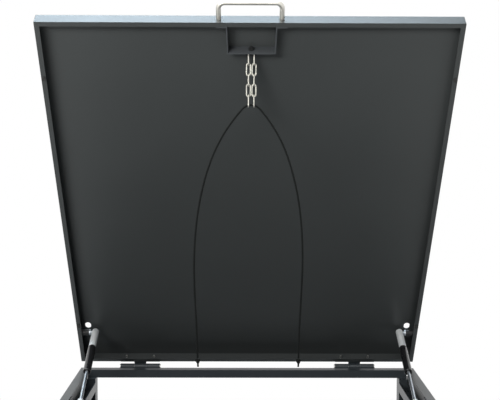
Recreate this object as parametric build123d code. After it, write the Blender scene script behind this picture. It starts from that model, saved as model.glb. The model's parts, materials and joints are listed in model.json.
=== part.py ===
"""Garden storage box: sheet-metal cabinet with an open lift-up lid, gas struts, chain and front door.

Millimetres. The origin is on the floor under the middle of the cabinet, +Z is up, the door faces -Y.
The lid is drawn shut and then turned about its hinge axis, so every lid piece is placed by
u (forward from the lid's rear edge) and h (up from the lid's lip plane).
"""
import math
import os

from build123d import *

# Cabinet
BOX_WIDTH = 680.0
BOX_DEPTH = 800.0
BOX_HEIGHT = 1160.0
SKIN = 1.5
SKIN_BOTTOM = 40.0
TOP_FLANGE = 16.5
TOP_LIP = 24.0
POST = 32.0
POST_WALL = 2.0
RAIL_WALL = 1.5
RAIL_HEIGHT = 16.0
REAR_RAIL_DEPTH = 20.0
CHANNEL_DROP = 24.0
CHANNEL_HEIGHT = 18.0
LOWER_RAIL_RISE = 60.0
FIT_GAP = 0.2

# Feet
FOOT_HEIGHT = 20.0
FOOT_PAD_RADIUS = 15.0
FOOT_PAD_HEIGHT = 7.0
FOOT_PAD_ROUND = 3.5
FOOT_STUD_RADIUS = 5.0
FOOT_STUD_LENGTH = 26.0
PLUG_DEPTH = 14.0
PLUG_RIM = 2.0

# Lid
LID_OPEN_ANGLE = 53.5
LID_DROP = 22.0
LID_SHEET = 1.5
LID_LIP = 8.0
LID_GAP = 3.0
SHEET_EDGE_RADIUS = 1.0
LID_HOLE_WIDTH = 11.5
LID_HOLE_LENGTH = 16.5
LID_HOLE_U = 86.0
LID_HOLE_INSET = 19.0
BUFFER_RADIUS = 3.5
BUFFER_GAP = 0.3
BUFFER_INSET = 106.0

# Lid hinges
HINGE_BACK = 12.0
HINGE_X = 220.0
HINGE_LENGTH = 80.0
HINGE_KNUCKLE = 24.0
HINGE_KNUCKLE_GAP = 0.5
HINGE_BARREL = 6.0
HINGE_LEAF = 2.0
HINGE_LEAF_HEIGHT = 12.0
HINGE_PIN = 3.0
HINGE_PIN_HEAD = 1.5
HINGE_PIN_HEAD_RADIUS = 5.0
PIN_CLEARANCE = 0.08

# Bow handles on the lid and the door
HANDLE_CENTRES = 100.0
HANDLE_REACH = 32.8
HANDLE_ROD = 4.0
HANDLE_BEND = 10.0
LID_HANDLE_H = 12.0
DOOR_HANDLE_INSET = 40.0
DOOR_HANDLE_HEIGHT = 720.0
HANDLE_SCREW_DEPTH = 9.0
HANDLE_SCREW_END_GAP = 1.0

# Fasteners
SCREW_RADIUS = 2.0
SCREW_HEAD_RADIUS = 3.6
SCREW_HEAD = 2.2
SCREW_HEAD_ROUND = 1.3
SCREW_SOCKET = 2.5
SCREW_SOCKET_DEPTH = 1.2
SCREW_TAIL = 4.0
SCREW_CLEARANCE = 0.15
HINGE_SCREW_X = 28.0

# Chain bracket under the lid
BRACKET_X = 2.2
BRACKET_WIDTH = 78.3
BRACKET_SPREAD = 1.5
BRACKET_DEPTH = 48.3
BRACKET_FOOT = 16.0
BRACKET_STRIP = 2.0
EYE_H = 10.0
EYE_WIRE = 1.5
EYE_SHANK = 2.5
EYE_SHANK_ABOVE = 6.0
EYE_HALF_WIDTH = 9.0
EYE_HEIGHT = 6.2
EYE_BEND = 2.5
NUT_FLATS = 8.0
NUT_HEIGHT = 4.0

# Chain and cord
LINK_WIRE = 1.2
LINK_INNER_WIDTH = 3.8
LINK_INNER_LENGTH = 17.0
LINK_GAP = 0.2
LINKS_PER_STRAND = 5
STRAND_X = 4.5
CORD_RADIUS = 1.5
CORD_SADDLE_X = 9.0
CORD_SADDLE_BEND = 6.0
CORD_SADDLE_END = (16.0, -8.3)
KNOT_RADIUS = 4.5
KNOT_LENGTH = 9.0
KNOT_ROUND = 3.2
CORD_ARC_SHARE = 0.45

# Gas struts
STRUT_INSET = 34.0
STRUT_FOOT_FORWARD = 246.5
STRUT_FOOT_DROP = 14.5
STRUT_LID_U = 78.0
STRUT_LID_H = 8.5
STRUT_TUBE = 7.5
STRUT_TUBE_ROUND = 1.1
STRUT_BORE = 6.0
STRUT_ROD = 3.0
STRUT_ROD_CLEARANCE = 0.1
STRUT_CAP = 3.0
STRUT_MOUTH = 102.5
STRUT_PISTON = 5.6
STRUT_PISTON_LENGTH = 5.0
STRUT_PISTON_GAP = 1.0
SOCKET_RADIUS = 6.0
SOCKET_LENGTH = 14.0
SOCKET_END = 6.5
SOCKET_ROUND = 4.0
UPPER_SOCKET_RADIUS = 7.0
UPPER_SOCKET_LENGTH = 52.0
BALL = 4.4
BALL_CLEARANCE = 0.25
STUD_NECK = 3.0
STUD_NECK_CLEARANCE = 1.2
STUD_PLATE = 2.0
STUD_PLATE_LENGTH = 36.0
STUD_PLATE_HEIGHT = 18.0
STUD_SCREW_SPACING = 13.0
BOSS_RADIUS = 6.0
STUD_DISC = 3.0
OPEN_PIVOT_GAP = 0.3

# Door
DOOR_GAP = 3.0
DOOR_THICKNESS = 20.0
DOOR_LIP = 12.0
STIFFENER_HEIGHT = 30.0
STIFFENER_SHARES = (0.3, 0.7)
DOOR_HINGE_INSET = 200.0
DOOR_HINGE_LENGTH = 60.0
DOOR_HINGE_FORWARD = 6.5
DOOR_LEAF = 3.0
DOOR_LEAF_REACH = 28.0
DOOR_LEAF_SCREW_REACH = 17.0
DOOR_HINGE_SCREWS = (8.0, 22.0)
MAGNET_INSET = 100.0
MAGNET_WIDTH = 46.0
MAGNET_HEIGHT = 14.0
MAGNET_GAP = 0.5

# Worked-out places
HALF_W = BOX_WIDTH / 2
REAR_Y = BOX_DEPTH / 2
FRONT_Y = -BOX_DEPTH / 2
TOP_Z = BOX_HEIGHT
POST_OUT_X = HALF_W - SKIN
POST_IN_X = POST_OUT_X - POST
LIP_X = HALF_W - TOP_FLANGE
LIP_Z = TOP_Z + LID_GAP
PANEL_H = LID_DROP - LID_SHEET
AXIS_Y = REAR_Y + HINGE_BACK
AXIS_Z = TOP_Z
LID_AXIS = Axis((0, AXIS_Y, AXIS_Z), (1, 0, 0))
OPEN = math.radians(LID_OPEN_ANGLE)
BRACKET_TOP_U = BOX_DEPTH - LID_LIP
BRACKET_BOTTOM_U = BRACKET_TOP_U - BRACKET_DEPTH - BRACKET_STRIP
EYE_BAR_U = BRACKET_BOTTOM_U - EYE_WIRE - EYE_HEIGHT
DOOR_HALF_W = POST_IN_X - DOOR_GAP
DOOR_BOTTOM = SKIN_BOTTOM
DOOR_TOP = TOP_Z - RAIL_HEIGHT - DOOR_GAP
DOOR_BACK_Y = FRONT_Y + DOOR_THICKNESS
DOOR_AXIS_X = -(POST_IN_X + DOOR_HALF_W) / 2
DOOR_AXIS_Y = FRONT_Y - DOOR_HINGE_FORWARD
DOOR_HINGE_HEIGHTS = (DOOR_BOTTOM + DOOR_HINGE_INSET, DOOR_TOP - DOOR_HINGE_INSET)
SCREW_HOLE = SCREW_RADIUS + SCREW_CLEARANCE
STRUT_X = HALF_W - STRUT_INSET
STRUT_FOOT = Vector(STRUT_X, REAR_Y - STRUT_FOOT_FORWARD, TOP_Z - STRUT_FOOT_DROP)

# Cord tails below the chain: sideways and downward steps from the middle of the cord, fore-and-aft last
LEFT_TAIL = [
    (-37.0, -33.2, 0.0),
    (-62.0, -79.0, 1.5),
    (-79.0, -132.0, 3.0),
    (-89.0, -189.0, 4.0),
    (-93.0, -247.0, 3.5),
    (-92.0, -305.0, 1.5),
    (-88.5, -362.0, -0.5),
    (-86.5, -415.0, -1.5),
]
RIGHT_TAIL = [
    (33.5, -29.05, 0.0),
    (57.5, -74.0, -1.0),
    (75.0, -135.0, -2.5),
    (83.0, -192.0, -3.0),
    (85.5, -250.0, -2.0),
    (83.5, -308.0, 0.0),
    (80.5, -364.0, 1.5),
    (79.5, -416.0, 2.5),
]


def block(x_range, y_range, z_range):
    """A box between two corners."""
    x0, x1 = x_range
    y0, y1 = y_range
    z0, z1 = z_range
    return Pos((x0 + x1) / 2, (y0 + y1) / 2, (z0 + z1) / 2) * Box(x1 - x0, y1 - y0, z1 - z0)


def bar_x(x0, x1, y, z, radius):
    """A round bar along X."""
    return Pos((x0 + x1) / 2, y, z) * Rot(0, 90, 0) * Cylinder(radius, abs(x1 - x0))


def bar_y(y0, y1, x, z, radius):
    """A round bar along Y."""
    return Pos(x, (y0 + y1) / 2, z) * Rot(90, 0, 0) * Cylinder(radius, abs(y1 - y0))


def bar_z(z0, z1, x, y, radius):
    """A round bar along Z."""
    return Pos(x, y, (z0 + z1) / 2) * Cylinder(radius, abs(z1 - z0))


def other_side(shape):
    """The mirror image on the other side of the middle plane."""
    return mirror(shape, about=Plane.YZ)


def lid_y(u):
    """Y of a point u in front of the shut lid's rear edge."""
    return REAR_Y - u


def lid_z(h):
    """Z of a point h above the shut lid's lip plane."""
    return LIP_Z + h


def opened(shape):
    """A piece drawn on the shut lid, turned to the open pose."""
    return shape.rotate(LID_AXIS, -LID_OPEN_ANGLE)


def opened_point(x, u, h):
    """A point of the shut lid in the open pose."""
    dy = lid_y(u) - AXIS_Y
    dz = lid_z(h) - AXIS_Z
    y = dy * math.cos(OPEN) + dz * math.sin(OPEN)
    z = -dy * math.sin(OPEN) + dz * math.cos(OPEN)
    return Vector(x, AXIS_Y + y, AXIS_Z + z)


def button_screw(grip):
    """A button-head screw with a hexagon socket: its shank runs along +Z from the seat at z = 0."""
    head = bar_z(-SCREW_HEAD, 0, 0, 0, SCREW_HEAD_RADIUS)
    head = fillet(head.faces().sort_by(Axis.Z)[0].edges(), SCREW_HEAD_ROUND)
    hexagon = RegularPolygon(SCREW_SOCKET / 2, 6, major_radius=False)
    head -= Pos(0, 0, -SCREW_HEAD) * extrude(hexagon, SCREW_SOCKET_DEPTH)
    return head + bar_z(0, grip, 0, 0, SCREW_RADIUS)


def screw_y(x, z, seat, toward, grip):
    """A screw along Y: its head stands on seat, its shank runs toward +1 or -1."""
    return Pos(x, seat, z) * Rot(-90 * toward, 0, 0) * button_screw(grip)


def screw_x(y, z, seat, toward, grip):
    """A screw along X: its head stands on seat, its shank runs toward +1 or -1."""
    return Pos(seat, y, z) * Rot(0, 90 * toward, 0) * button_screw(grip)


def tube_block(x_range, y_range, z_range, wall, along):
    """A rectangular tube whose hollow runs along one axis."""
    ranges = [x_range, y_range, z_range]
    hollow = []
    for i, (low, high) in enumerate(ranges):
        hollow.append((low, high) if i == along else (low + wall, high - wall))
    return block(*ranges) - block(*hollow)


def folded_tray(width, length, depth, sheet, lip):
    """A sheet tray, face up: panel on top, four flanges down and lips turned in. Lip plane at z = 0."""
    tray = Pos(0, 0, depth / 2) * Box(width, length, depth)
    edges = tray.edges().filter_by(Axis.Z) + tray.faces().sort_by(Axis.Z)[-1].edges()
    tray = fillet(edges, SHEET_EDGE_RADIUS)
    room = depth - 2 * sheet
    tray -= Pos(0, 0, sheet + room / 2) * Box(width - 2 * sheet, length - 2 * sheet, room)
    return tray - Pos(0, 0, sheet / 2) * Box(width - 2 * lip, length - 2 * lip, sheet)


def bow_handle():
    """A bent-rod handle: feet on the plane y = 0, bow towards -Y, legs side by side along X."""
    leg_x = HANDLE_CENTRES / 2
    reach = HANDLE_REACH - HANDLE_ROD
    points = [(-leg_x, 0, 0), (-leg_x, -reach, 0), (leg_x, -reach, 0), (leg_x, 0, 0)]
    path = FilletPolyline(*points, radius=HANDLE_BEND)
    rod = sweep(Plane(origin=path @ 0, z_dir=path % 0) * Circle(HANDLE_ROD), path=path)
    for x in (-leg_x, leg_x):
        rod -= bar_y(-HANDLE_SCREW_DEPTH, 0, x, 0, SCREW_HOLE)
    return rod


def handle_screws_at_origin(sheet):
    """The two screws that hold a bow handle from behind a sheet of that thickness."""
    screws = []
    for x in (-HANDLE_CENTRES / 2, HANDLE_CENTRES / 2):
        screws.append(screw_y(x, 0, sheet, -1, sheet + HANDLE_SCREW_DEPTH - HANDLE_SCREW_END_GAP))
    return screws


# Cabinet frame

def corner_post(x_range, y_range):
    """A square post with a closed top."""
    post_top = TOP_Z - RAIL_HEIGHT
    post = block(x_range, y_range, (FOOT_HEIGHT, post_top))
    inside_x = (x_range[0] + POST_WALL, x_range[1] - POST_WALL)
    inside_y = (y_range[0] + POST_WALL, y_range[1] - POST_WALL)
    return post - block(inside_x, inside_y, (FOOT_HEIGHT, post_top - POST_WALL))


def post_corners():
    """The X and Y ranges of the posts, by name."""
    right = (POST_IN_X, POST_OUT_X)
    left = (-POST_OUT_X, -POST_IN_X)
    front = (FRONT_Y, FRONT_Y + POST)
    rear = (REAR_Y - POST, REAR_Y)
    return {
        "front_left": (left, front),
        "front_right": (right, front),
        "rear_left": (left, rear),
        "rear_right": (right, rear),
    }


def side_wall():
    """The right-hand skin with its folded top flange and the lip between the posts."""
    depth = (FRONT_Y, REAR_Y)
    between = (FRONT_Y + POST + FIT_GAP, REAR_Y - POST - FIT_GAP)
    skin = block((POST_OUT_X, HALF_W), depth, (SKIN_BOTTOM, TOP_Z))
    skin += block((LIP_X, HALF_W), depth, (TOP_Z - SKIN, TOP_Z))
    skin += block((LIP_X, LIP_X + SKIN), between, (TOP_Z - TOP_LIP, TOP_Z))
    outer_edge = skin.edges().filter_by(Axis.Y).group_by(Axis.Z)[-1].sort_by(Axis.X)[-1]
    skin = fillet(outer_edge, SHEET_EDGE_RADIUS)
    for dy in (-STUD_SCREW_SPACING, STUD_SCREW_SPACING):
        skin -= bar_x(LIP_X, LIP_X + SKIN, STRUT_FOOT.Y + dy, stud_plate_z(), SCREW_HOLE)
    return skin


def stud_plate_z():
    """Height of the middle of the strut's foot plate on the wall's lip."""
    return TOP_Z - SKIN - STUD_PLATE_HEIGHT / 2


def side_channel():
    """The right-hand channel between the posts, open at the top under the wall's lip."""
    y_range = (FRONT_Y + POST, REAR_Y - POST)
    top = TOP_Z - CHANNEL_DROP
    bottom = top - CHANNEL_HEIGHT
    channel = block((POST_IN_X, POST_OUT_X), y_range, (bottom, top))
    return channel - block((POST_IN_X + RAIL_WALL, POST_OUT_X - RAIL_WALL), y_range, (bottom + RAIL_WALL, top))


def side_lower_rail():
    """The right-hand rail between the posts near the floor."""
    y_range = (FRONT_Y + POST, REAR_Y - POST)
    z_range = (LOWER_RAIL_RISE, LOWER_RAIL_RISE + RAIL_HEIGHT)
    return tube_block((POST_IN_X, POST_OUT_X), y_range, z_range, RAIL_WALL, 1)


def rear_top_rail():
    """The rail that carries the lid hinges, on top of the rear posts."""
    half = LIP_X - FIT_GAP
    y_range = (REAR_Y - REAR_RAIL_DEPTH, REAR_Y)
    rail = tube_block((-half, half), y_range, (TOP_Z - RAIL_HEIGHT, TOP_Z), RAIL_WALL, 0)
    for x in hinge_screw_xs():
        rail -= bar_y(REAR_Y - RAIL_WALL, REAR_Y, x, box_leaf_screw_z(), SCREW_HOLE)
    return rail


def rear_lower_rail():
    """The tie between the rear posts near the floor."""
    y_range = (REAR_Y - REAR_RAIL_DEPTH, REAR_Y)
    top = LOWER_RAIL_RISE + RAIL_HEIGHT
    return tube_block((-POST_IN_X, POST_IN_X), y_range, (LOWER_RAIL_RISE, top), RAIL_WALL, 0)


def front_header():
    """The rail over the door, on top of the front posts."""
    half = LIP_X - FIT_GAP
    y_range = (FRONT_Y, FRONT_Y + POST)
    return tube_block((-half, half), y_range, (TOP_Z - RAIL_HEIGHT, TOP_Z), RAIL_WALL, 0)


def foot_and_plug(x_range, y_range):
    """A levelling foot and the plug that closes the post above it."""
    x = sum(x_range) / 2
    y = sum(y_range) / 2
    pad = bar_z(0, FOOT_PAD_HEIGHT, x, y, FOOT_PAD_RADIUS)
    pad = fillet(pad.faces().sort_by(Axis.Z)[-1].edges(), FOOT_PAD_ROUND)
    stud_top = FOOT_PAD_HEIGHT + FOOT_STUD_LENGTH
    foot = pad + bar_z(0, stud_top, x, y, FOOT_STUD_RADIUS)
    inside = POST / 2 - POST_WALL - FIT_GAP
    plug_top = FOOT_HEIGHT + PLUG_DEPTH
    plug = block((x - inside, x + inside), (y - inside, y + inside), (FOOT_HEIGHT, plug_top))
    plug += block(x_range, y_range, (FOOT_HEIGHT - PLUG_RIM, FOOT_HEIGHT))
    plug -= bar_z(FOOT_HEIGHT - PLUG_RIM, plug_top, x, y, FOOT_STUD_RADIUS + FIT_GAP)
    return foot, plug


# Lid hinges

def hinge_screw_xs():
    """X of the screws of both lid hinges."""
    xs = []
    for side in (-1, 1):
        for dx in (-HINGE_SCREW_X, HINGE_SCREW_X):
            xs.append(side * HINGE_X + dx)
    return xs


def box_leaf_screw_z():
    """Height of the screws in the leaves on the rear rail."""
    return TOP_Z - RAIL_HEIGHT / 2 - HINGE_LEAF


def lid_leaf_screw_h():
    """Height on the lid of the screws in the leaves on its rear flange."""
    return LID_DROP / 2


def hinge_leaf(x, knuckles, web_z, plate_z, screw_z):
    """One leaf: a plate on the rear face, webs out to the barrel, and its knuckles about the axis."""
    half = HINGE_LENGTH / 2
    leaf = block((x - half, x + half), (REAR_Y, REAR_Y + HINGE_LEAF), plate_z)
    for x0, x1 in knuckles:
        leaf += block((x + x0, x + x1), (REAR_Y, AXIS_Y), web_z)
        leaf += bar_x(x + x0, x + x1, AXIS_Y, AXIS_Z, HINGE_BARREL)
    for x0, x1 in knuckles:
        leaf -= bar_x(x + x0, x + x1, AXIS_Y, AXIS_Z, HINGE_PIN + PIN_CLEARANCE)
    for dx in (-HINGE_SCREW_X, HINGE_SCREW_X):
        leaf -= bar_y(REAR_Y, REAR_Y + HINGE_LEAF, x + dx, screw_z, SCREW_HOLE)
    return leaf


def box_leaf(x):
    """The leaf on the rear rail, with the two outer knuckles."""
    half = HINGE_LENGTH / 2
    inner = HINGE_KNUCKLE / 2 + HINGE_KNUCKLE_GAP
    web_z = (AXIS_Z - HINGE_BARREL, AXIS_Z - HINGE_BARREL + HINGE_LEAF)
    plate_z = (web_z[1] - HINGE_LEAF_HEIGHT, web_z[1])
    return hinge_leaf(x, [(-half, -inner), (inner, half)], web_z, plate_z, box_leaf_screw_z())


def lid_leaf(x):
    """The leaf on the lid's rear flange, with the middle knuckle, on the shut lid."""
    web_z = (AXIS_Z + HINGE_BARREL - HINGE_LEAF, AXIS_Z + HINGE_BARREL)
    plate_z = (web_z[0], lid_z(LID_DROP - HINGE_LEAF))
    middle = [(-HINGE_KNUCKLE / 2, HINGE_KNUCKLE / 2)]
    return hinge_leaf(x, middle, web_z, plate_z, lid_z(lid_leaf_screw_h()))


def hinge_pin(x):
    """A pin with a flat head at each end."""
    half = HINGE_LENGTH / 2
    pin = bar_x(x - half, x + half, AXIS_Y, AXIS_Z, HINGE_PIN)
    for end in (-1, 1):
        x0 = x + end * half
        pin += bar_x(x0, x0 + end * HINGE_PIN_HEAD, AXIS_Y, AXIS_Z, HINGE_PIN_HEAD_RADIUS)
    return pin


# Lid

def lid_tray():
    """The folded lid with its two slots and the holes for its screws, shut."""
    tray = Pos(0, 0, LIP_Z) * folded_tray(BOX_WIDTH, BOX_DEPTH, LID_DROP, LID_SHEET, LID_LIP)
    slot = extrude(Rot(0, 0, 90) * SlotOverall(LID_HOLE_LENGTH, LID_HOLE_WIDTH), LID_SHEET)
    hole_x = HALF_W - LID_HOLE_INSET
    for x in (-hole_x, hole_x):
        tray -= Pos(x, lid_y(LID_HOLE_U), lid_z(PANEL_H)) * slot
    for x in (-HANDLE_CENTRES / 2, HANDLE_CENTRES / 2):
        tray -= bar_y(FRONT_Y, FRONT_Y + LID_SHEET, x, lid_z(LID_HANDLE_H), SCREW_HOLE)
    for x in hinge_screw_xs():
        tray -= bar_y(REAR_Y - LID_SHEET, REAR_Y, x, lid_z(lid_leaf_screw_h()), SCREW_HOLE)
    return tray


def chain_bracket():
    """The bent strip behind the front lip, standing on the panel, with the hole for the eye."""
    half = BRACKET_WIDTH / 2
    spread = half + BRACKET_SPREAD
    foot = spread + BRACKET_FOOT
    strip = BRACKET_STRIP
    depth = BRACKET_DEPTH + strip
    outline = [
        (foot, 0), (foot, strip), (spread, strip), (half, depth),
        (-half, depth), (-spread, strip), (-foot, strip), (-foot, 0),
        (strip - spread, 0), (strip - half, depth - strip), (half - strip, depth - strip), (spread - strip, 0),
    ]
    bent = extrude(make_face(Polyline(*outline, close=True)), PANEL_H)
    bent -= bar_y(depth - strip, depth, 0, EYE_H, EYE_SHANK + FIT_GAP)
    return Pos(BRACKET_X, lid_y(BRACKET_TOP_U), lid_z(0)) * bent


def chain_eye():
    """The eye bolt under the bracket: a flat-bottomed loop across X on a threaded shank."""
    bottom = lid_y(BRACKET_BOTTOM_U)
    top_y = bottom + EYE_WIRE
    bar = lid_y(EYE_BAR_U)
    z = lid_z(EYE_H)
    w = EYE_HALF_WIDTH
    corners = [(x, y, z) for x, y in ((-w, top_y), (-w, bar), (w, bar), (w, top_y))]
    path = FilletPolyline(*corners, radius=EYE_BEND, close=True)
    loop = sweep(Plane(origin=path @ 0, z_dir=path % 0) * Circle(EYE_WIRE), path=path)
    end = bottom - BRACKET_STRIP - EYE_SHANK_ABOVE
    return Pos(BRACKET_X, 0, 0) * (loop + bar_y(end, top_y, 0, z, EYE_SHANK))


def eye_nut():
    """The hexagon nut on the eye bolt, seated on the bracket."""
    seat = lid_y(BRACKET_BOTTOM_U) - BRACKET_STRIP
    hexagon = RegularPolygon(NUT_FLATS / 2, 6, major_radius=False)
    nut = extrude(hexagon, NUT_HEIGHT) - bar_z(0, NUT_HEIGHT, 0, 0, EYE_SHANK + FIT_GAP)
    return Pos(BRACKET_X, seat - NUT_HEIGHT, lid_z(EYE_H)) * Rot(-90, 0, 0) * nut


def lid_buffers():
    """The rubber buffers under the side lips."""
    pads = []
    x = HALF_W - LID_LIP / 2
    for u in (BUFFER_INSET, BOX_DEPTH - BUFFER_INSET):
        pad = bar_z(TOP_Z + BUFFER_GAP, LIP_Z, x, lid_y(u), BUFFER_RADIUS)
        pads += [pad, other_side(pad)]
    return pads


# Chain and cord

def stadium_loop(wire, inner_width, inner_length):
    """A chain link in the XZ plane: its upper bow's centre at the origin, hanging down."""
    r = inner_width / 2 + wire
    drop = inner_length - inner_width
    edges = [
        Line((r, 0, 0), (r, 0, -drop)),
        ThreePointArc((r, 0, -drop), (0, 0, -drop - r), (-r, 0, -drop)),
        Line((-r, 0, -drop), (-r, 0, 0)),
        ThreePointArc((-r, 0, 0), (0, 0, r), (r, 0, 0)),
    ]
    path = Wire(edges)
    return sweep(Plane(origin=(r, 0, 0), z_dir=(0, 0, -1)) * Circle(wire), path=path)


def link_pitch():
    """How far each link hangs below the one above."""
    return LINK_INNER_LENGTH - LINK_GAP


def chain_strand(side, pivot):
    """One strand: links by turns edge-on and face-on, the first round the eye's bar."""
    links = []
    for i in range(LINKS_PER_STRAND):
        link = stadium_loop(LINK_WIRE, LINK_INNER_WIDTH, LINK_INNER_LENGTH)
        turn = 90 if i % 2 == 0 else 0
        place = Pos(pivot.X + side * STRAND_X, pivot.Y, pivot.Z - i * link_pitch())
        links.append(place * Rot(0, 0, turn) * link)
    return links


def cord_apex(pivot):
    """The middle of the cord, lying in the last links."""
    last_bow = (LINKS_PER_STRAND - 1) * link_pitch() + LINK_INNER_LENGTH - LINK_INNER_WIDTH / 2
    return Vector(pivot.X, pivot.Y, pivot.Z - last_bow + LINK_GAP + CORD_RADIUS)


def cord_tube(points, radii):
    """A round cord along straight runs and tangent arcs."""
    path = FilletPolyline(*points, radius=radii)
    tube = sweep(Plane(origin=path @ 0, z_dir=path % 0) * Circle(CORD_RADIUS), path=path)
    return tube, path.length


def cord_saddle(apex):
    """The stretch of cord that lies in the links, bent down on both sides."""
    out, down = CORD_SADDLE_END
    points = [(-out, 0, down), (-CORD_SADDLE_X, 0, 0), (CORD_SADDLE_X, 0, 0), (out, 0, down)]
    points = [apex + Vector(*p) for p in points]
    tube, length = cord_tube(points, CORD_SADDLE_BEND)
    return tube, length


def route_radii(points):
    """The largest even radius at each corner of a cord's route."""
    radii = []
    for a, b, c in zip(points, points[1:], points[2:]):
        turn = math.radians((b - a).get_angle(c - b))
        shorter = min((b - a).length, (c - b).length)
        radii.append(CORD_ARC_SHARE * shorter / math.tan(turn / 2))
    return radii


def cord_tail(apex, steps, side):
    """A free end of the cord from the saddle down, and the knot at its end."""
    out, down = CORD_SADDLE_END
    points = [apex + Vector(side * out, 0, down)]
    for x, z, y in steps:
        points.append(apex + Vector(x, y, z))
    radii = route_radii(points)
    tube, length = cord_tube(points, radii)
    section = math.pi * CORD_RADIUS**2
    print("tail radii", [round(r) for r in radii], "length", round(length, 1))
    print("tail volume", round(tube.volume, 1), "section times length", round(section * length, 1))
    end = points[-1]
    along = (points[-1] - points[-2]).normalized()
    knot = Plane(origin=end + along * (KNOT_LENGTH / 2), z_dir=along) * Cylinder(KNOT_RADIUS, KNOT_LENGTH)
    knot = fillet(knot.edges().filter_by(GeomType.CIRCLE), KNOT_ROUND)
    return tube, knot


# Gas struts

def strut_plane():
    """A frame at the strut's foot whose z axis runs up the strut in the open pose, x to the right."""
    top = opened_point(STRUT_X, STRUT_LID_U, STRUT_LID_H)
    along = (top - STRUT_FOOT).normalized()
    return Plane(origin=STRUT_FOOT, x_dir=(1, 0, 0), z_dir=along), (top - STRUT_FOOT).length


def ball_and_neck(ball, neck, reach):
    """A ball at the origin on a round neck that runs out along +X."""
    start = math.sqrt(ball**2 - neck**2)
    outline = [
        ThreePointArc((-ball, 0), (0, ball), (start, neck)),
        Line((start, neck), (reach, neck)),
        Line((reach, neck), (reach, 0)),
        Line((reach, 0), (-ball, 0)),
    ]
    return revolve(make_face(outline), Axis.X)


def ball_socket(length, radius):
    """A ball socket along +Z from the ball's centre, open towards +X for the stud."""
    body = bar_z(-SOCKET_END, length, 0, 0, radius)
    body = fillet(body.faces().sort_by(Axis.Z)[0].edges(), SOCKET_ROUND)
    return body - ball_and_neck(BALL + BALL_CLEARANCE, STUD_NECK + STUD_NECK_CLEARANCE, radius)


def strut_pieces():
    """Rod, tube, sockets and the upper stud of the right-hand strut, in the open pose."""
    frame, length = strut_plane()
    tube_end = length - UPPER_SOCKET_LENGTH
    rod_end = STRUT_MOUTH + STRUT_CAP + STRUT_PISTON_LENGTH
    rod = bar_z(SOCKET_LENGTH, rod_end, 0, 0, STRUT_ROD)
    rod += bar_z(rod_end - STRUT_PISTON_LENGTH + STRUT_PISTON_GAP, rod_end, 0, 0, STRUT_PISTON)
    tube = bar_z(STRUT_MOUTH, tube_end, 0, 0, STRUT_TUBE)
    tube = fillet(tube.edges().filter_by(GeomType.CIRCLE), STRUT_TUBE_ROUND)
    tube -= bar_z(STRUT_MOUTH + STRUT_CAP, tube_end - STRUT_CAP, 0, 0, STRUT_BORE)
    tube -= bar_z(STRUT_MOUTH, STRUT_MOUTH + STRUT_CAP, 0, 0, STRUT_ROD + STRUT_ROD_CLEARANCE)
    upper = Pos(0, 0, length) * Rot(180, 0, 0) * ball_socket(UPPER_SOCKET_LENGTH, UPPER_SOCKET_RADIUS)
    lower = ball_socket(SOCKET_LENGTH, SOCKET_RADIUS)
    disc_end = stud_disc_x() - STRUT_X
    stud = Pos(0, 0, length) * ball_and_neck(BALL, STUD_NECK, disc_end - STUD_DISC)
    stud += bar_x(disc_end - STUD_DISC, disc_end, 0, length, BOSS_RADIUS)
    pieces = {"rod": rod, "lower_socket": lower, "tube": tube, "upper_socket": upper, "upper_stud": stud}
    return {name: frame * shape for name, shape in pieces.items()}


def stud_disc_x():
    """X of the flat end of the upper stud, which faces the boss on the lid."""
    return STRUT_X + UPPER_SOCKET_RADIUS + STUD_DISC + STUD_PLATE


def strut_foot():
    """The right-hand ball stud on its plate, against the side wall's lip."""
    x0 = LIP_X - STUD_PLATE
    half = STUD_PLATE_LENGTH / 2
    z = stud_plate_z()
    y = STRUT_FOOT.Y
    z_range = (z - STUD_PLATE_HEIGHT / 2, z + STUD_PLATE_HEIGHT / 2)
    plate = block((x0, LIP_X), (y - half, y + half), z_range)
    for dy in (-STUD_SCREW_SPACING, STUD_SCREW_SPACING):
        plate -= bar_x(x0, LIP_X, y + dy, z, SCREW_HOLE)
    return plate + Pos(*STRUT_FOOT) * ball_and_neck(BALL, STUD_NECK, x0 - STRUT_X)


def strut_foot_screws():
    """The screws of the right-hand strut foot."""
    screws = []
    for dy in (-STUD_SCREW_SPACING, STUD_SCREW_SPACING):
        y = STRUT_FOOT.Y + dy
        screws.append(screw_x(y, stud_plate_z(), LIP_X - STUD_PLATE, 1, STUD_PLATE + SKIN + SCREW_TAIL))
    return screws


def strut_lid_bracket():
    """The right-hand plate and boss inside the lid's side flange, shut."""
    x1 = HALF_W - LID_SHEET
    x0 = x1 - STUD_PLATE
    y = lid_y(STRUT_LID_U)
    half = STUD_PLATE_LENGTH / 2
    z_range = (lid_z(LID_SHEET), lid_z(PANEL_H))
    plate = block((x0, x1), (y - half, y + half), z_range)
    return plate + bar_x(stud_disc_x() + OPEN_PIVOT_GAP, x0, y, lid_z(STRUT_LID_H), BOSS_RADIUS)


# Door

def door_panel():
    """The folded door leaf, shut, face to -Y."""
    width = 2 * DOOR_HALF_W
    height = DOOR_TOP - DOOR_BOTTOM
    panel = folded_tray(width, height, DOOR_THICKNESS, SKIN, DOOR_LIP)
    panel = Pos(0, DOOR_BACK_Y, (DOOR_TOP + DOOR_BOTTOM) / 2) * Rot(90, 0, 0) * panel
    for dz in (-HANDLE_CENTRES / 2, HANDLE_CENTRES / 2):
        panel -= bar_y(FRONT_Y, FRONT_Y + SKIN, door_handle_x(), DOOR_HANDLE_HEIGHT + dz, SCREW_HOLE)
    for z in DOOR_HINGE_HEIGHTS:
        for dz in DOOR_HINGE_SCREWS:
            panel -= bar_y(FRONT_Y, FRONT_Y + SKIN, door_leaf_screw_x(), z + dz, SCREW_HOLE)
    return panel


def door_handle_x():
    """X of the door's handle."""
    return DOOR_HALF_W - DOOR_HANDLE_INSET


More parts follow.
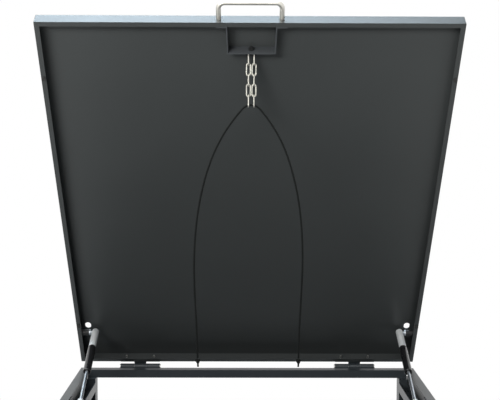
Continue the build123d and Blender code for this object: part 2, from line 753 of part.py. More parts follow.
def door_leaf_screw_x():
    """X of the hinge screws in the door."""
    return -DOOR_HALF_W + DOOR_LEAF_SCREW_REACH


def post_leaf_screw_x():
    """X of the hinge screws in the post."""
    return -POST_IN_X - DOOR_LEAF_SCREW_REACH


def door_stiffeners():
    """The flat tubes across the inside of the door."""
    half = DOOR_HALF_W - SKIN - FIT_GAP
    y_range = (FRONT_Y + SKIN, DOOR_BACK_Y - SKIN)
    bars = []
    for share in STIFFENER_SHARES:
        z = DOOR_BOTTOM + share * (DOOR_TOP - DOOR_BOTTOM)
        z_range = (z - STIFFENER_HEIGHT / 2, z + STIFFENER_HEIGHT / 2)
        bars.append(tube_block((-half, half), y_range, z_range, RAIL_WALL, 0))
    return bars


def door_leaf(x_edge, z_range, screw_x_place, screw_zs):
    """A leaf of a door hinge: a plate on the front face out to x_edge, and a knuckle about the axis."""
    x_range = sorted((DOOR_AXIS_X, x_edge))
    leaf = block(x_range, (FRONT_Y - DOOR_LEAF, FRONT_Y), z_range)
    leaf += bar_z(*z_range, DOOR_AXIS_X, DOOR_AXIS_Y, HINGE_BARREL)
    leaf -= bar_z(*z_range, DOOR_AXIS_X, DOOR_AXIS_Y, HINGE_PIN + PIN_CLEARANCE)
    for z in screw_zs:
        leaf -= bar_y(FRONT_Y - DOOR_LEAF, FRONT_Y, screw_x_place, z, SCREW_HOLE)
    return leaf


def door_hinge(z):
    """Both leaves, the pin and the screws of the door hinge at height z."""
    half = DOOR_HINGE_LENGTH / 2
    gap = HINGE_KNUCKLE_GAP / 2
    post_zs = [z - dz for dz in DOOR_HINGE_SCREWS]
    door_zs = [z + dz for dz in DOOR_HINGE_SCREWS]
    post_edge = -POST_IN_X - DOOR_LEAF_REACH
    door_edge = -DOOR_HALF_W + DOOR_LEAF_REACH
    pin = bar_z(z - half, z + half, DOOR_AXIS_X, DOOR_AXIS_Y, HINGE_PIN)
    pin += bar_z(z - half - HINGE_PIN_HEAD, z - half, DOOR_AXIS_X, DOOR_AXIS_Y, HINGE_PIN_HEAD_RADIUS)
    seat = FRONT_Y - DOOR_LEAF
    post_grip = DOOR_LEAF + POST_WALL + SCREW_TAIL
    door_grip = DOOR_LEAF + SKIN + SCREW_TAIL
    return {
        "post_leaf": door_leaf(post_edge, (z - half, z - gap), post_leaf_screw_x(), post_zs),
        "door_leaf": door_leaf(door_edge, (z + gap, z + half), door_leaf_screw_x(), door_zs),
        "pin": pin,
        "post_screws": [screw_y(post_leaf_screw_x(), s, seat, 1, post_grip) for s in post_zs],
        "door_screws": [screw_y(door_leaf_screw_x(), s, seat, 1, door_grip) for s in door_zs],
    }


def magnet_catch():
    """The magnet under the header, behind the door's upper lip."""
    top = TOP_Z - RAIL_HEIGHT
    x = DOOR_HALF_W - MAGNET_INSET
    x_range = (x - MAGNET_WIDTH / 2, x + MAGNET_WIDTH / 2)
    return block(x_range, (DOOR_BACK_Y + MAGNET_GAP, FRONT_Y + POST), (top - MAGNET_HEIGHT, top))


def save(name, shape):
    """Write one node; a list becomes a group of separate solids."""
    if isinstance(shape, list):
        shape = Compound(shape)
    export_step(shape, f"parts/{name}.step")


def save_cabinet():
    """The frame, walls, feet and everything fixed to them."""
    feet = []
    plugs = []
    for name, (x_range, y_range) in post_corners().items():
        post = corner_post(x_range, y_range)
        if name == "front_left":
            for z in DOOR_HINGE_HEIGHTS:
                for dz in DOOR_HINGE_SCREWS:
                    post -= bar_y(FRONT_Y, FRONT_Y + POST_WALL, post_leaf_screw_x(), z - dz, SCREW_HOLE)
        save(f"{name}_post", post)
        foot, plug = foot_and_plug(x_range, y_range)
        feet.append(foot)
        plugs.append(plug)
    save("levelling_feet", feet)
    save("post_plugs", plugs)
    sides = {
        "side_wall": side_wall(),
        "upper_rail": side_channel(),
        "lower_rail": side_lower_rail(),
        "strut_foot": strut_foot(),
    }
    for name, shape in sides.items():
        save(f"{name}_right", shape)
        save(f"{name}_left", other_side(shape))
    screws = strut_foot_screws()
    save("strut_foot_screws", screws + [other_side(s) for s in screws])
    save("rear_top_rail", rear_top_rail())
    save("rear_lower_rail", rear_lower_rail())
    save("front_header", front_header())
    save("magnet_catch", magnet_catch())
    save("hinge_box_leaves", [box_leaf(x) for x in (-HINGE_X, HINGE_X)])
    save("hinge_pins", [hinge_pin(x) for x in (-HINGE_X, HINGE_X)])
    seat = REAR_Y + HINGE_LEAF
    grip = HINGE_LEAF + RAIL_WALL + SCREW_TAIL
    save("hinge_box_screws", [screw_y(x, box_leaf_screw_z(), seat, -1, grip) for x in hinge_screw_xs()])


def save_lid():
    """The lid and everything that lifts with it."""
    save("lid_tray", opened(lid_tray()))
    place = Pos(0, FRONT_Y, lid_z(LID_HANDLE_H))
    save("lid_handle", opened(place * bow_handle()))
    save("lid_handle_screws", [opened(place * s) for s in handle_screws_at_origin(LID_SHEET)])
    save("chain_bracket", opened(chain_bracket()))
    save("chain_eye", opened(chain_eye()))
    save("chain_eye_nut", opened(eye_nut()))
    save("lid_buffers", [opened(pad) for pad in lid_buffers()])
    save("hinge_lid_leaves", [opened(lid_leaf(x)) for x in (-HINGE_X, HINGE_X)])
    seat = REAR_Y + HINGE_LEAF
    grip = HINGE_LEAF + LID_SHEET + SCREW_TAIL
    screws = [screw_y(x, lid_z(lid_leaf_screw_h()), seat, -1, grip) for x in hinge_screw_xs()]
    save("hinge_lid_screws", [opened(s) for s in screws])
    bracket = strut_lid_bracket()
    save("strut_lid_bracket_right", opened(bracket))
    save("strut_lid_bracket_left", opened(other_side(bracket)))


def save_chain():
    """The doubled chain and the cord through its last links, hanging plumb."""
    pivot = opened_point(BRACKET_X, EYE_BAR_U, EYE_H)
    apex = cord_apex(pivot)
    save("chain_left", chain_strand(-1, pivot))
    save("chain_right", chain_strand(1, pivot))
    saddle, length = cord_saddle(apex)
    print("saddle length", round(length, 1))
    print("cord middle", [round(c, 3) for c in (apex.X, apex.Y, apex.Z)])
    save("cord_saddle", saddle)
    left, left_knot = cord_tail(apex, LEFT_TAIL, -1)
    right, right_knot = cord_tail(apex, RIGHT_TAIL, 1)
    save("cord_tail_left", left)
    save("cord_tail_right", right)
    save("cord_knots", [left_knot, right_knot])


def save_struts():
    """Both gas struts."""
    for name, shape in strut_pieces().items():
        save(f"strut_{name}_right", shape)
        save(f"strut_{name}_left", other_side(shape))


def save_door():
    """The door, its hinges and its handle."""
    save("door_panel", door_panel())
    save("door_stiffeners", door_stiffeners())
    place = Pos(door_handle_x(), FRONT_Y, DOOR_HANDLE_HEIGHT) * Rot(0, 90, 0)
    save("door_handle", place * bow_handle())
    save("door_handle_screws", [place * s for s in handle_screws_at_origin(SKIN)])
    hinges = [door_hinge(z) for z in DOOR_HINGE_HEIGHTS]
    save("door_hinge_post_leaves", [h["post_leaf"] for h in hinges])
    save("door_hinge_door_leaves", [h["door_leaf"] for h in hinges])
    save("door_hinge_pins", [h["pin"] for h in hinges])
    save("door_hinge_post_screws", [s for h in hinges for s in h["post_screws"]])
    save("door_hinge_door_screws", [s for h in hinges for s in h["door_screws"]])


os.makedirs("parts", exist_ok=True)
save_cabinet()
save_lid()
save_chain()
save_struts()
save_door()
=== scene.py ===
"""Looks of the garden storage box: its finishes, the lifting cord and its knots, and the stage."""
import json
import math

import bpy
from mathutils import Matrix, Vector


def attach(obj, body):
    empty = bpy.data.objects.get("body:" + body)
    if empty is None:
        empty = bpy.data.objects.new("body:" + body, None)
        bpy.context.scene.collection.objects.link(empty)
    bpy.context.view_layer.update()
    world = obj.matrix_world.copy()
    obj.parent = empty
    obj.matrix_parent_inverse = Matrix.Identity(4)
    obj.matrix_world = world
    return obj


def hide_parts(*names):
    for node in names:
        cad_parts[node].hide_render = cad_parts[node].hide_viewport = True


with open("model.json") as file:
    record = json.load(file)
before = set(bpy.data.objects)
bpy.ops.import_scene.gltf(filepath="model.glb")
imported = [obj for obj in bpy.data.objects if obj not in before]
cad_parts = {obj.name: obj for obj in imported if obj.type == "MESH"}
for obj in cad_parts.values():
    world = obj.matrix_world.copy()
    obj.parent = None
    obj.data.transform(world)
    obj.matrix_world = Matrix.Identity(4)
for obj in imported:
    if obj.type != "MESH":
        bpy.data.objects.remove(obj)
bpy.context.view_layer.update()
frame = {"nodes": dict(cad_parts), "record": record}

bl_info = {
    "name": "Garden storage box",
    "version": (1, 0, 0),
    "blender": (4, 5, 0),
    "location": "3D View > Sidebar > Garden box",
    "description": "Finishes a garden storage box with a lift-up lid and sets its stage",
    "category": "Object",
}

MM = 0.001
PIXEL_WIDTH = 500

# Lifting cord, in millimetres: its middle, and steps from there sideways, up and fore-and-aft
CORD_MIDDLE = (2.2, -21.288, 1686.810)
SADDLE_STEPS = [(-16.0, -8.3, 0.0), (-9.0, 0.0, 0.0), (9.0, 0.0, 0.0), (16.0, -8.3, 0.0)]
LEFT_TAIL = [
    (-16.0, -8.3, 0.0),
    (-37.0, -33.2, 0.0),
    (-62.0, -79.0, 1.5),
    (-79.0, -132.0, 3.0),
    (-89.0, -189.0, 4.0),
    (-93.0, -247.0, 3.5),
    (-92.0, -305.0, 1.5),
    (-88.5, -362.0, -0.5),
    (-86.5, -415.0, -1.5),
]
RIGHT_TAIL = [
    (16.0, -8.3, 0.0),
    (33.5, -29.05, 0.0),
    (57.5, -74.0, -1.0),
    (75.0, -135.0, -2.5),
    (83.0, -192.0, -3.0),
    (85.5, -250.0, -2.0),
    (83.5, -308.0, 0.0),
    (80.5, -364.0, 1.5),
    (79.5, -416.0, 2.5),
]

# Braid and knots of the cord, with lengths in metres
BRAID_STRANDS = 6
BRAID_LAY = 0.012
# Painted shading of the braid, gain and base: the colour is scaled by strand height, darker in the grooves
# and lighter on the ridges
BRAID_PAINTED_SHADING_GAIN = 0.5
BRAID_PAINTED_SHADING_BASE = 0.9
SHORT_BRAID_LENGTH = 0.04
LONG_BRAID_LENGTH = 0.42
KNOT_DROP = 0.0045
KNOT_LOOP = 0.0011
KNOT_DEPTH = 0.0015
KNOT_END = 0.0095
KNOT_POINTS = 24

# Finishes of the fittings: colour and roughness
STAINLESS_ROD = ((0.78, 0.76, 0.70), 0.40)
ZINC_HARDWARE = ((0.55, 0.55, 0.54), 0.35)
STRUT_CHROME = ((0.50, 0.54, 0.58), 0.40)
# Strut alloy: the pale bluish colour is partly the alloy's own pale grey and partly a painted reflection of
# the sky on the sockets
STRUT_ALLOY_AND_PAINTED_SHEEN = ((0.80, 0.84, 0.87), 0.42)
BLACK_STEEL = ((0.016, 0.017, 0.018), 0.42)
STRUT_ENAMEL = ((0.010, 0.010, 0.011), 0.28)
BUFFER_RUBBER = ((0.018, 0.018, 0.018), 0.75)
BLACK_PLASTIC = ((0.022, 0.022, 0.023), 0.5)
CHAIN_ROUGHNESS = 0.50
# Low metallic, so that the pale socket colour shows as a painted sheen instead of a real reflection
ALLOY_METALLIC = 0.2
ENAMEL_COAT = 0.5

# Uneven shade and gloss of the finishes: scale, detail, lowest and highest value
COAT_SHADE = (4.0, 3.0, 0.9, 1.1)
COAT_GLOSS = (9.0, 3.0, -0.05, 0.05)
SKIN_SHADE = (180.0, 4.0, 0.6, 1.5)
SKIN_GLOSS = (260.0, 2.0, -0.1, 0.1)
PLATE_SHADE = (60.0, 3.0, 0.85, 1.08)
PLATE_GLOSS = (120.0, 2.0, -0.06, 0.08)

# Fine relief of the finishes: its scale, then the bumps' strength and their depth in metres
COAT_GRAIN_SCALE = 1300.0
SKIN_PEBBLE_SCALE = 1600.0
COAT_BUMP = (0.05, 0.0002)
SKIN_BUMP = (0.25, 0.0001)
PLATE_BUMP = (0.08, 0.0001)
BRAID_BUMP = (0.5, 0.0002)

# Fineness of the scratches along X, Y and Z
DRAWN_ALONG_X = (150.0, 2500.0, 2500.0)
SCRATCHED_EVENLY = (900.0, 900.0, 900.0)

# Lamps, in metres and degrees: place, aim, size, brightness of the face, tint, spread
LAMPS = {
    "sky_strip": ((-0.55, 0.75, 3.8), (0.0, -0.06, 1.8), (3.5, 0.7), 15.5, (0.71, 0.87, 1.0), 180.0),
    "sky_panel": ((-0.7, -2.2, 4.2), (-0.5, -2.0, 0.0), (3.6, 3.0), 4.0, (1.0, 0.98, 0.94), 180.0),
    "front_key": ((-1.5, -3.0, 2.3), (-0.2, -0.06, 2.3), (2.0, 0.8), 2.5, (1.0, 0.98, 0.93), 42.0),
}
FLOOR_COLOUR = (0.90, 0.86, 0.82)

# Camera, in millimetres and degrees
CAMERA_PLACE = (-13.05, -1757.4, 1649.6)
CAMERA_PITCH = 3.850
CAMERA_YAW = 0.459
CAMERA_ROLL = 0.193
FOCAL_PIXELS = 1067.34


# Settings

class FinishSettings(bpy.types.PropertyGroup):
    """Colours and gloss of the box."""

    sheet_colour: bpy.props.FloatVectorProperty(
        name="Sheet colour",
        description="Powder coat on the lid, walls and door",
        subtype="COLOR",
        size=3,
        min=0.0,
        max=1.0,
        default=(0.046, 0.051, 0.053),
    )
    frame_colour: bpy.props.FloatVectorProperty(
        name="Frame colour",
        description="Powder coat on the posts, rails and hinges",
        subtype="COLOR",
        size=3,
        min=0.0,
        max=1.0,
        default=(0.040, 0.048, 0.056),
    )
    # Lighter and bluer than the sheet coat: partly the strip's own paint, partly a painted highlight on its
    # edges and painted sky light on its plate
    bracket_colour: bpy.props.FloatVectorProperty(
        name="Bracket colour",
        description="Powder coat on the strip that carries the chain",
        subtype="COLOR",
        size=3,
        min=0.0,
        max=1.0,
        default=(0.056, 0.062, 0.069),
    )
    coat_roughness: bpy.props.FloatProperty(
        name="Coat roughness",
        description="Gloss of the powder coat: 0 is a mirror",
        subtype="FACTOR",
        min=0.0,
        max=1.0,
        default=0.36,
    )
    chain_colour: bpy.props.FloatVectorProperty(
        name="Chain colour",
        description="Zinc plate on the chain",
        subtype="COLOR",
        size=3,
        min=0.0,
        max=1.0,
        default=(0.44, 0.435, 0.40),
    )


class CordSettings(bpy.types.PropertyGroup):
    """Size and colour of the lifting cord."""

    diameter: bpy.props.FloatProperty(
        name="Diameter",
        description="Thickness of the cord",
        unit="LENGTH",
        min=0.001,
        max=0.01,
        default=0.003,
    )
    colour: bpy.props.FloatVectorProperty(
        name="Cord colour",
        description="Colour of the braid",
        subtype="COLOR",
        size=3,
        min=0.0,
        max=1.0,
        default=(0.004, 0.005, 0.005),
    )


class StageSettings(bpy.types.PropertyGroup):
    """Floor, light and camera."""

    floor_size: bpy.props.FloatProperty(
        name="Floor size",
        description="Side of the square floor",
        unit="LENGTH",
        min=2.0,
        max=100.0,
        default=40.0,
    )
    fade_start: bpy.props.FloatProperty(
        name="Fade start",
        description="Distance at which the floor starts to fade to white",
        unit="LENGTH",
        min=0.0,
        max=50.0,
        default=1.0,
    )
    fade_end: bpy.props.FloatProperty(
        name="Fade end",
        description="Distance at which the floor is all white",
        unit="LENGTH",
        min=0.0,
        max=50.0,
        default=4.0,
    )
    fill_level: bpy.props.FloatProperty(
        name="Fill level",
        description="Even light from all round",
        min=0.0,
        max=2.0,
        default=0.12,
    )


# Shader node groups

def new_group(name, inputs, outputs):
    """An empty node group with named sockets, each given as (name, kind, default)."""
    group = bpy.data.node_groups.new(name, "ShaderNodeTree")
    for direction, sockets in (("INPUT", inputs), ("OUTPUT", outputs)):
        for socket_name, kind, default in sockets:
            socket = group.interface.new_socket(socket_name, in_out=direction, socket_type=kind)
            if default is not None:
                socket.default_value = default
    source = group.nodes.new("NodeGroupInput")
    target = group.nodes.new("NodeGroupOutput")
    return group, source, target


def noise(tree, scale, detail, vector=None):
    """A noise texture on Object coordinates, or on the vector given."""
    node = tree.nodes.new("ShaderNodeTexNoise")
    node.inputs["Scale"].default_value = scale
    node.inputs["Detail"].default_value = detail
    if vector is None:
        place = tree.nodes.new("ShaderNodeTexCoord")
        vector = place.outputs["Object"]
    tree.links.new(vector, node.inputs["Vector"])
    return node.outputs["Fac"]


def span(tree, value, low, high):
    """Maps a 0 to 1 value to low to high."""
    node = tree.nodes.new("ShaderNodeMapRange")
    node.inputs["To Min"].default_value = low
    node.inputs["To Max"].default_value = high
    tree.links.new(value, node.inputs["Value"])
    return node.outputs["Result"]


def math_node(tree, operation, *values):
    """A Math node on sockets or plain numbers."""
    node = tree.nodes.new("ShaderNodeMath")
    node.operation = operation
    for place, value in zip(node.inputs, values):
        if isinstance(value, (int, float)):
            place.default_value = value
        else:
            tree.links.new(value, place)
    return node.outputs[0]


def scaled_colour(tree, colour, factor):
    """A colour multiplied by a value."""
    node = tree.nodes.new("ShaderNodeVectorMath")
    node.operation = "SCALE"
    tree.links.new(colour, node.inputs[0])
    tree.links.new(factor, node.inputs["Scale"])
    return node.outputs["Vector"]


def patches(tree, scale, detail, low, high):
    """Noise that runs from low to high."""
    return span(tree, noise(tree, scale, detail), low, high)


def make_uneven(group, source, target, shade, gloss):
    """Feeds a group's colour and roughness through, with uneven shade and gloss."""
    colour = scaled_colour(group, source.outputs["Colour"], patches(group, *shade))
    group.links.new(colour, target.inputs["Colour"])
    roughness = math_node(group, "ADD", source.outputs["Roughness"], patches(group, *gloss))
    group.links.new(roughness, target.inputs["Roughness"])


def powder_coat_group():
    """Powder coat: a slow change of shade and gloss, and the fine grain of the coat."""
    group, source, target = new_group(
        "Powder coat",
        [("Colour", "NodeSocketColor", None), ("Roughness", "NodeSocketFloat", 0.4)],
        [
            ("Colour", "NodeSocketColor", None),
            ("Roughness", "NodeSocketFloat", None),
            ("Grain", "NodeSocketFloat", None),
        ],
    )
    make_uneven(group, source, target, COAT_SHADE, COAT_GLOSS)
    group.links.new(noise(group, COAT_GRAIN_SCALE, detail=1.0), target.inputs["Grain"])


def moulded_group():
    """Moulded rubber or plastic: uneven shade and gloss, and a fine pebbled skin."""
    group, source, target = new_group(
        "Moulded skin",
        [("Colour", "NodeSocketColor", None), ("Roughness", "NodeSocketFloat", 0.6)],
        [
            ("Colour", "NodeSocketColor", None),
            ("Roughness", "NodeSocketFloat", None),
            ("Pebbles", "NodeSocketFloat", None),
        ],
    )
    make_uneven(group, source, target, SKIN_SHADE, SKIN_GLOSS)
    cells = group.nodes.new("ShaderNodeTexVoronoi")
    cells.inputs["Scale"].default_value = SKIN_PEBBLE_SCALE
    place = group.nodes.new("ShaderNodeTexCoord")
    group.links.new(place.outputs["Object"], cells.inputs["Vector"])
    group.links.new(cells.outputs["Distance"], target.inputs["Pebbles"])


def braid_group():
    """Braided sleeve: strands that wind both ways round a cord, laid out by its UV map; its colour carries
    painted shade in the grooves between strands and a painted highlight on their ridges.
    """
    group, source, target = new_group(
        "Braid",
        [("Colour", "NodeSocketColor", None), ("Turns", "NodeSocketFloat", 1000.0)],
        [("Colour", "NodeSocketColor", None), ("Height", "NodeSocketFloat", None)],
    )
    links = group.links
    place = group.nodes.new("ShaderNodeTexCoord")
    axes = group.nodes.new("ShaderNodeSeparateXYZ")
    links.new(place.outputs["UV"], axes.inputs[0])
    along = math_node(group, "MULTIPLY", axes.outputs["X"], source.outputs["Turns"])
    around = math_node(group, "MULTIPLY", axes.outputs["Y"], math.tau * BRAID_STRANDS)
    ridges = [math_node(group, "SINE", math_node(group, way, around, along)) for way in ("ADD", "SUBTRACT")]
    height = math_node(group, "MAXIMUM", *ridges)
    # Painted shade in the grooves between strands and a painted highlight on their ridges
    shade = math_node(group, "MULTIPLY_ADD", height, BRAID_PAINTED_SHADING_GAIN, BRAID_PAINTED_SHADING_BASE)
    links.new(scaled_colour(group, source.outputs["Colour"], shade), target.inputs["Colour"])
    links.new(height, target.inputs["Height"])


def plated_metal_group():
    """Plated metal: cloudy tint, uneven gloss and scratches as fine on each axis as Stretch says."""
    group, source, target = new_group(
        "Plated metal",
        [
            ("Colour", "NodeSocketColor", None),
            ("Roughness", "NodeSocketFloat", 0.3),
            ("Stretch", "NodeSocketVector", None),
        ],
        [
            ("Colour", "NodeSocketColor", None),
            ("Roughness", "NodeSocketFloat", None),
            ("Scratches", "NodeSocketFloat", None),
        ],
    )
    links = group.links
    make_uneven(group, source, target, PLATE_SHADE, PLATE_GLOSS)
    place = group.nodes.new("ShaderNodeTexCoord")
    stretch = group.nodes.new("ShaderNodeVectorMath")
    stretch.operation = "MULTIPLY"
    links.new(place.outputs["Object"], stretch.inputs[0])
    links.new(source.outputs["Stretch"], stretch.inputs[1])
    scratches = noise(group, scale=1.0, detail=2.0, vector=stretch.outputs["Vector"])
    links.new(scratches, target.inputs["Scratches"])


# Materials

def new_material(name):
    """A node material; returns it with its tree and its Principled shader."""
    material = bpy.data.materials.new(name)
    material.use_nodes = True
    tree = material.node_tree
    return material, tree, tree.nodes["Principled BSDF"]


def add_bump(tree, shader, height, strength, distance):
    """Feeds a height to the shader's normal."""
    bump = tree.nodes.new("ShaderNodeBump")
    bump.inputs["Strength"].default_value = strength
    bump.inputs["Distance"].default_value = distance
    tree.links.new(height, bump.inputs["Height"])
    tree.links.new(bump.outputs["Normal"], shader.inputs["Normal"])


def use_group(tree, shader, name, colour, roughness=None):
    """Puts a node group in a material and feeds the shader's colour and roughness from it."""
    node = tree.nodes.new("ShaderNodeGroup")
    node.node_tree = bpy.data.node_groups[name]
    node.inputs["Colour"].default_value = (*colour, 1.0)
    tree.links.new(node.outputs["Colour"], shader.inputs["Base Color"])
    if roughness is not None:
        node.inputs["Roughness"].default_value = roughness
        tree.links.new(node.outputs["Roughness"], shader.inputs["Roughness"])
    return node


def powder_coat(name, colour, roughness, coat=0.0):
    """A satin powder coat of one colour."""
    material, tree, shader = new_material(name)
    node = use_group(tree, shader, "Powder coat", colour, roughness)
    shader.inputs["Specular IOR Level"].default_value = 0.3
    shader.inputs["Coat Weight"].default_value = coat
    shader.inputs["Coat Roughness"].default_value = 0.12
    add_bump(tree, shader, node.outputs["Grain"], *COAT_BUMP)
    return material


def plated_metal(name, colour, roughness, stretch, metallic=1.0):
    """A plated or bare metal with fine scratches; stretch is their fineness along X, Y and Z."""
    material, tree, shader = new_material(name)
    node = use_group(tree, shader, "Plated metal", colour, roughness)
    node.inputs["Stretch"].default_value = stretch
    shader.inputs["Metallic"].default_value = metallic
    add_bump(tree, shader, node.outputs["Scratches"], *PLATE_BUMP)
    return material


def moulded(name, colour, roughness):
    """Moulded rubber or plastic."""
    material, tree, shader = new_material(name)
    node = use_group(tree, shader, "Moulded skin", colour, roughness)
    add_bump(tree, shader, node.outputs["Pebbles"], *SKIN_BUMP)
    return material


def braided(name, colour, length):
    """The sleeve of a cord of that length."""
    material, tree, shader = new_material(name)
    node = use_group(tree, shader, "Braid", colour)
    node.inputs["Turns"].default_value = math.tau * BRAID_STRANDS * length / BRAID_LAY
    shader.inputs["Roughness"].default_value = 0.9
    shader.inputs["Specular IOR Level"].default_value = 0.2
    add_bump(tree, shader, node.outputs["Height"], *BRAID_BUMP)
    return material


def paint_slot(slot, material):
    """Gives every CAD node of a material slot its finish."""
    for part in frame["record"]["subparts"]:
        if part["material_slot"] == slot:
            mesh = frame["nodes"][part["node"]].data
            mesh.materials.clear()
            mesh.materials.append(material)


# Operators

class GARDENBOX_OT_coats(bpy.types.Operator):
    """Powder coat on the sheets, the frame and the bracket"""

    bl_idname = "gardenbox.coats"
    bl_label = "Powder coats"

    def execute(self, context):
        finish = context.scene.gardenbox_finish
        powder_coat_group()
        sheet = powder_coat("Anthracite sheet", finish.sheet_colour, finish.coat_roughness)
        paint_slot("anthracite_sheet", sheet)
        tube = powder_coat("Anthracite frame", finish.frame_colour, finish.coat_roughness)
        paint_slot("anthracite_frame", tube)
        # The bracket coat holds its own paint together with a painted highlight on the edges and painted sky
        # light
        paint_slot("bracket_grey", powder_coat("Bracket grey", finish.bracket_colour, finish.coat_roughness))
        return {"FINISHED"}


class GARDENBOX_OT_metals(bpy.types.Operator):
    """Bright metals of the handles, chain, screws and struts"""

    bl_idname = "gardenbox.metals"
    bl_label = "Bright metals"

    def execute(self, context):
        finish = context.scene.gardenbox_finish
        plated_metal_group()
        even = SCRATCHED_EVENLY
        paint_slot("stainless", plated_metal("Stainless rod", *STAINLESS_ROD, DRAWN_ALONG_X))
        paint_slot("zinc_chain", plated_metal("Zinc chain", finish.chain_colour, CHAIN_ROUGHNESS, even))
        paint_slot("zinc_hardware", plated_metal("Zinc hardware", *ZINC_HARDWARE, even))
        paint_slot("strut_chrome", plated_metal("Strut chrome", *STRUT_CHROME, even))
        # Strut sockets: a pale, barely metallic finish that carries a painted reflection of the sky
        paint_slot("strut_alloy", plated_metal("Strut alloy", *STRUT_ALLOY_AND_PAINTED_SHEEN, even, ALLOY_METALLIC))
        return {"FINISHED"}


class GARDENBOX_OT_black_parts(bpy.types.Operator):
    """Black steel, enamel, rubber and plastic"""

    bl_idname = "gardenbox.black_parts"
    bl_label = "Black parts"

    def execute(self, context):
        moulded_group()
        paint_slot("black_steel", powder_coat("Black steel", *BLACK_STEEL))
        paint_slot("strut_black", powder_coat("Strut enamel", *STRUT_ENAMEL, ENAMEL_COAT))
        paint_slot("buffer_rubber", moulded("Buffer rubber", *BUFFER_RUBBER))
        paint_slot("black_plastic", moulded("Black plastic", *BLACK_PLASTIC))
        return {"FINISHED"}


def route_points(steps):
    """Points of a cord's route in metres, from steps of (sideways, up, fore-and-aft)."""
    middle = Vector(CORD_MIDDLE)
    return [(middle + Vector((x, y, z))) * MM for x, z, y in steps]


def new_cord(name, diameter, material):
    """An empty round cord."""
    curve = bpy.data.curves.new(name, "CURVE")
    curve.dimensions = "3D"
    curve.bevel_depth = diameter / 2
    curve.bevel_resolution = 4
    curve.resolution_u = 12
    curve.use_fill_caps = True
    curve.materials.append(material)
    piece = bpy.data.objects.new(name, curve)
    bpy.context.scene.collection.objects.link(piece)
    return piece


def add_run(piece, points, closed=False):
    """A smooth line along the points."""
    spline = piece.data.splines.new("NURBS")
    spline.points.add(len(points) - 1)
    for place, point in zip(spline.points, points):
        place.co = (*point, 1.0)
    spline.order_u = 3
    spline.use_cyclic_u = closed
    spline.use_endpoint_u = not closed


def add_knot(piece, end, before):
    """A tight overhand knot under the cord's end: a trefoil, and the free end below it."""
    along = (end - before).normalized()
    centre = end + along * KNOT_DROP
    loops = []
    for step in range(KNOT_POINTS):
        t = math.tau * step / KNOT_POINTS
        across = KNOT_LOOP * (math.sin(t) + 2 * math.sin(2 * t))
        rise = KNOT_LOOP * (math.cos(t) - 2 * math.cos(2 * t))
        loops.append(centre + Vector((across, KNOT_DEPTH * math.sin(3 * t), rise)))
    add_run(piece, loops, closed=True)
    add_run(piece, [centre, centre + along * KNOT_END / 2, centre + along * KNOT_END])


class GARDENBOX_OT_lifting_cord(bpy.types.Operator):
    """The black cord through the last links of the chain"""

    bl_idname = "gardenbox.lifting_cord"
    bl_label = "Lifting cord"

    def execute(self, context):
        cord = context.scene.gardenbox_cord
        braid_group()
        short_braid = braided("Cord braid, short", cord.colour, SHORT_BRAID_LENGTH)
        long_braid = braided("Cord braid, long", cord.colour, LONG_BRAID_LENGTH)
        paint_slot("black_cord", long_braid)
        saddle = new_cord("cord_through_links", cord.diameter, short_braid)
        left = new_cord("cord_left", cord.diameter, long_braid)
        right = new_cord("cord_right", cord.diameter, long_braid)
        left_knot = new_cord("cord_knot_left", cord.diameter, short_braid)
        right_knot = new_cord("cord_knot_right", cord.diameter, short_braid)
        routes = [route_points(steps) for steps in (SADDLE_STEPS, LEFT_TAIL, RIGHT_TAIL)]
        for piece, route in zip((saddle, left, right), routes):
            add_run(piece, route)
        for knot, route in zip((left_knot, right_knot), routes[1:]):
            add_knot(knot, route[-1], route[-2])
        stand_ins = {
            saddle: "cord_saddle",
            left: "cord_tail_left",
            right: "cord_tail_right",
            left_knot: "cord_knots",
            right_knot: "cord_knots",
        }
        for piece, node in stand_ins.items():
            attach(piece, "lifting_chain")
            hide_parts(node)
        return {"FINISHED"}


def soft_box(name, place, target, size, radiance, tint, spread):
    """An area lamp that faces a point; its power comes from the brightness of its face."""
    lamp = bpy.data.lights.new(name, "AREA")
    lamp.shape = "RECTANGLE"
    lamp.size = size[0]
    lamp.size_y = size[1]
    lamp.energy = radiance * math.pi * size[0] * size[1]
    lamp.color = tint
    lamp.spread = math.radians(spread)
    holder = bpy.data.objects.new(name, lamp)
    bpy.context.scene.collection.objects.link(holder)
    holder.location = place
    holder.rotation_euler = (Vector(target) - Vector(place)).to_track_quat("-Z", "Y").to_euler()
    return holder


def photo_camera():
    """The camera at the photograph's place, angle and focal length."""
    data = bpy.data.cameras.new("Camera")
    data.sensor_width = 36.0
    data.lens = data.sensor_width * FOCAL_PIXELS / PIXEL_WIDTH
    data.clip_end = 200.0
    camera = bpy.data.objects.new("Camera", data)
    bpy.context.scene.collection.objects.link(camera)
    yaw = math.radians(CAMERA_YAW)
    pitch = math.radians(CAMERA_PITCH)
    roll = math.radians(CAMERA_ROLL)
    level_right = Vector((math.cos(yaw), -math.sin(yaw), 0))
    level_ahead = Vector((math.sin(yaw), math.cos(yaw), 0))
    ahead = math.cos(pitch) * level_ahead - math.sin(pitch) * Vector((0, 0, 1))
    level_up = math.sin(pitch) * level_ahead + math.cos(pitch) * Vector((0, 0, 1))
    right = math.cos(roll) * level_right + math.sin(roll) * level_up
    up = math.cos(roll) * level_up - math.sin(roll) * level_right
    turn = Matrix((right, up, -ahead)).transposed()
    camera.matrix_world = Matrix.Translation(Vector(CAMERA_PLACE) * MM) @ turn.to_4x4()
    bpy.context.scene.camera = camera


def seen_or_mirrored(tree):
    """1 for rays from the camera, a mirror or glass; 0 for rays that only carry light."""
    path = tree.nodes.new("ShaderNodeLightPath")
    total = path.outputs["Is Camera Ray"]
    for name in ("Is Glossy Ray", "Is Transmission Ray"):
        total = math_node(tree, "MAXIMUM", total, path.outputs[name])
    return total


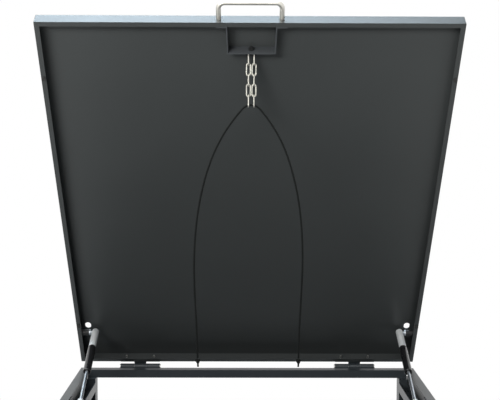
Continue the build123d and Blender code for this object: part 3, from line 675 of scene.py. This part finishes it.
def white_world(level):
    """An even world that looks white and lights at the given level."""
    world = bpy.data.worlds.new("Studio")
    bpy.context.scene.world = world
    world.use_nodes = True
    tree = world.node_tree
    background = tree.nodes["Background"]
    background.inputs["Color"].default_value = (1.0, 1.0, 1.0, 1.0)
    strength = span(tree, seen_or_mirrored(tree), level, 1.0)
    tree.links.new(strength, background.inputs["Strength"])


def pale_floor(side, near, far):
    """A large pale floor that keeps the box's shadow and fades to the white background far away."""
    bpy.ops.object.select_all(action="DESELECT")
    bpy.ops.mesh.primitive_plane_add(size=side)
    floor = bpy.context.object
    floor.name = "floor"
    material, tree, shader = new_material("Pale floor")
    shader.inputs["Base Color"].default_value = (*FLOOR_COLOUR, 1.0)
    shader.inputs["Roughness"].default_value = 0.9
    glow = tree.nodes.new("ShaderNodeEmission")
    mix = tree.nodes.new("ShaderNodeMixShader")
    place = tree.nodes.new("ShaderNodeTexCoord")
    away = tree.nodes.new("ShaderNodeVectorMath")
    away.operation = "LENGTH"
    tree.links.new(place.outputs["Object"], away.inputs[0])
    fade = tree.nodes.new("ShaderNodeMapRange")
    fade.interpolation_type = "SMOOTHSTEP"
    fade.inputs["From Min"].default_value = near
    fade.inputs["From Max"].default_value = far
    tree.links.new(away.outputs["Value"], fade.inputs["Value"])
    share = math_node(tree, "MULTIPLY", fade.outputs["Result"], seen_or_mirrored(tree))
    tree.links.new(share, mix.inputs["Fac"])
    tree.links.new(shader.outputs["BSDF"], mix.inputs[1])
    tree.links.new(glow.outputs["Emission"], mix.inputs[2])
    tree.links.new(mix.outputs["Shader"], tree.nodes["Material Output"].inputs["Surface"])
    floor.data.materials.append(material)


class GARDENBOX_OT_stage(bpy.types.Operator):
    """Pale floor, soft light and the camera"""

    bl_idname = "gardenbox.stage"
    bl_label = "Stage"

    def execute(self, context):
        stage = context.scene.gardenbox_stage
        context.scene.view_settings.view_transform = "Standard"
        white_world(stage.fill_level)
        pale_floor(stage.floor_size, stage.fade_start, stage.fade_end)
        [soft_box(name, *values) for name, values in LAMPS.items()]
        photo_camera()
        return {"FINISHED"}


class GARDENBOX_PT_panel(bpy.types.Panel):
    """Steps of the garden storage box"""

    bl_idname = "GARDENBOX_PT_panel"
    bl_label = "Garden box"
    bl_space_type = "VIEW_3D"
    bl_region_type = "UI"
    bl_category = "Garden box"

    def draw(self, context):
        for settings in (
            context.scene.gardenbox_finish,
            context.scene.gardenbox_cord,
            context.scene.gardenbox_stage,
        ):
            box = self.layout.box()
            for name in settings.bl_rna.properties.keys():
                if name not in ("rna_type", "name"):
                    box.prop(settings, name)
        for operator in OPERATORS:
            self.layout.operator(operator.bl_idname)


SETTINGS = {
    "gardenbox_finish": FinishSettings,
    "gardenbox_cord": CordSettings,
    "gardenbox_stage": StageSettings,
}
OPERATORS = (
    GARDENBOX_OT_coats,
    GARDENBOX_OT_metals,
    GARDENBOX_OT_black_parts,
    GARDENBOX_OT_lifting_cord,
    GARDENBOX_OT_stage,
)


def register():
    """Registers the settings, the operators and the panel."""
    for name, group in SETTINGS.items():
        bpy.utils.register_class(group)
        setattr(bpy.types.Scene, name, bpy.props.PointerProperty(type=group))
    for operator in OPERATORS:
        bpy.utils.register_class(operator)
    bpy.utils.register_class(GARDENBOX_PT_panel)


def unregister():
    """Takes everything out again."""
    bpy.utils.unregister_class(GARDENBOX_PT_panel)
    for operator in reversed(OPERATORS):
        bpy.utils.unregister_class(operator)
    for name, group in SETTINGS.items():
        delattr(bpy.types.Scene, name)
        bpy.utils.unregister_class(group)


def main():
    """Builds everything in order."""
    register()
    bpy.ops.gardenbox.coats()
    bpy.ops.gardenbox.metals()
    bpy.ops.gardenbox.black_parts()
    bpy.ops.gardenbox.lifting_cord()
    bpy.ops.gardenbox.stage()


if __name__ == "__main__":
    main()
